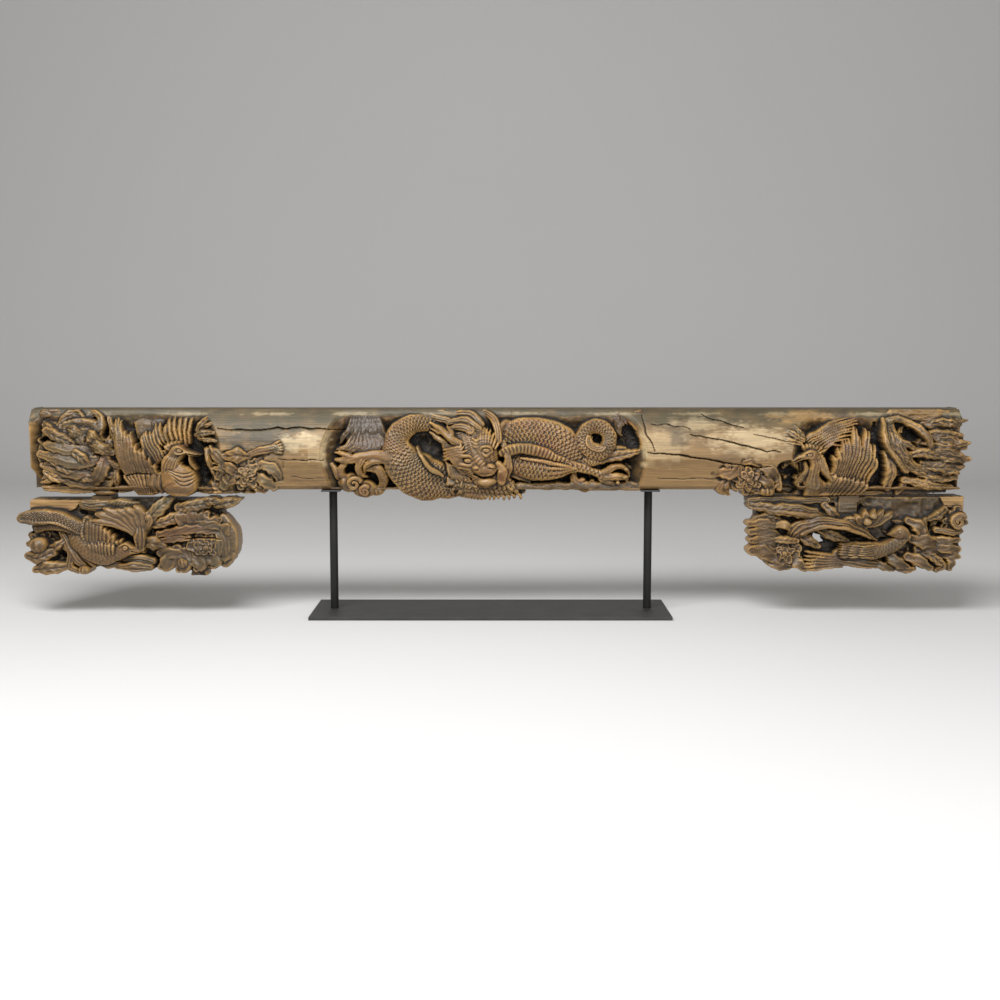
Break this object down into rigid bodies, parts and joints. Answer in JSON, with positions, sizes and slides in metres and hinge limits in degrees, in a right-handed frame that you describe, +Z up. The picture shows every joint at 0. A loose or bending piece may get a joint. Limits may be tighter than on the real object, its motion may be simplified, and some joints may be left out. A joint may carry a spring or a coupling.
{
  "type": "carved door lintel on stand",
  "caption": "Half-round wooden door lintel carved with a dragon between phoenixes, with carved spandrel blocks under its ends, on a dark steel display stand.",
  "frame": {"origin": "middle of the length and depth, at the underside of the stand's base plate", "axes": "+X along the log to the viewer's right, +Y towards the plain back, +Z up; the carved face looks to -Y"},
  "size_m": [2.2289, 0.23, 0.4849],
  "materials": {
    "carved_wood": "weathered, worn",
    "spandrel_wood": "weathered, worn",
    "stand_steel": "satin"
  },
  "bodies": {
    "root": {"lintel_beam": "carved_wood", "left_spandrel": "spandrel_wood", "right_spandrel": "spandrel_wood", "base_plate": "stand_steel", "left_post": "stand_steel", "right_post": "stand_steel", "left_head_plate": "stand_steel", "right_head_plate": "stand_steel"}
  },
  "joints": []
}
